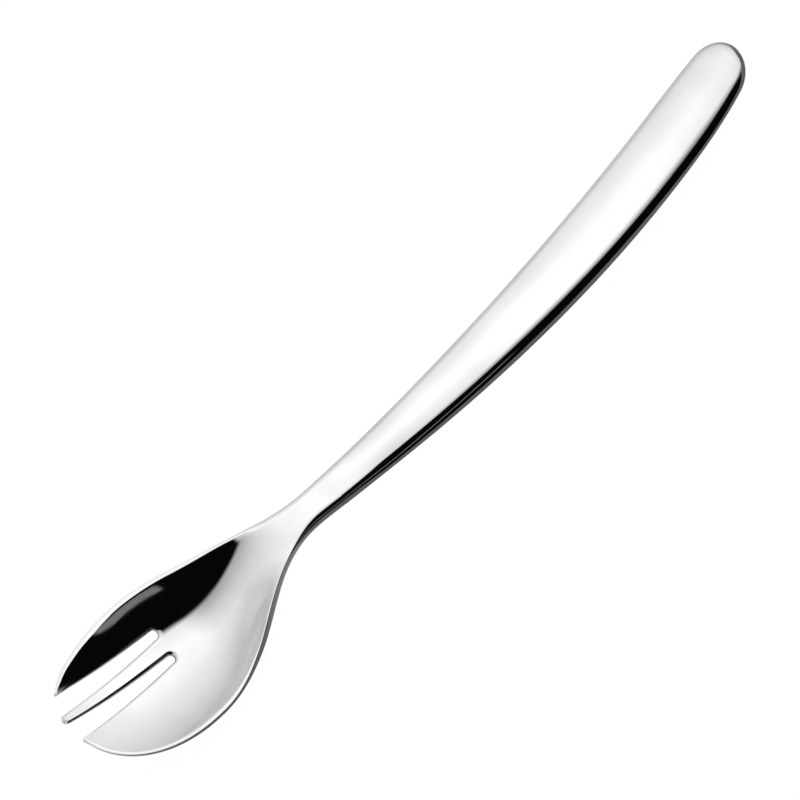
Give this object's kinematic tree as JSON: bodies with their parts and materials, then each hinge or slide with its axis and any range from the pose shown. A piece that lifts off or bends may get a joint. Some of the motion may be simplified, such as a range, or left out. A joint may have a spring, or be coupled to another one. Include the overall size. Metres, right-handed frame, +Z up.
{
  "type": "adaptive fork",
  "caption": "One-handed stainless adaptive fork with a spoon-like slotted bowl and a thick, sideways-bowed hollow handle.",
  "frame": {"origin": "on the table, under the lowest point of the bowl", "axes": "+X along the bowl from the handle to the tips, +Y to the user's left, +Z up"},
  "size_m": [0.1951, 0.0301, 0.0141],
  "materials": {
    "head_steel": "mirror polished stainless steel",
    "upper_shell_steel": "mirror polished stainless steel",
    "lower_shell_steel": "mirror polished stainless steel"
  },
  "bodies": {
    "root": {"fork_head": "head_steel", "handle_upper_shell": "upper_shell_steel", "handle_lower_shell": "lower_shell_steel"}
  },
  "joints": []
}
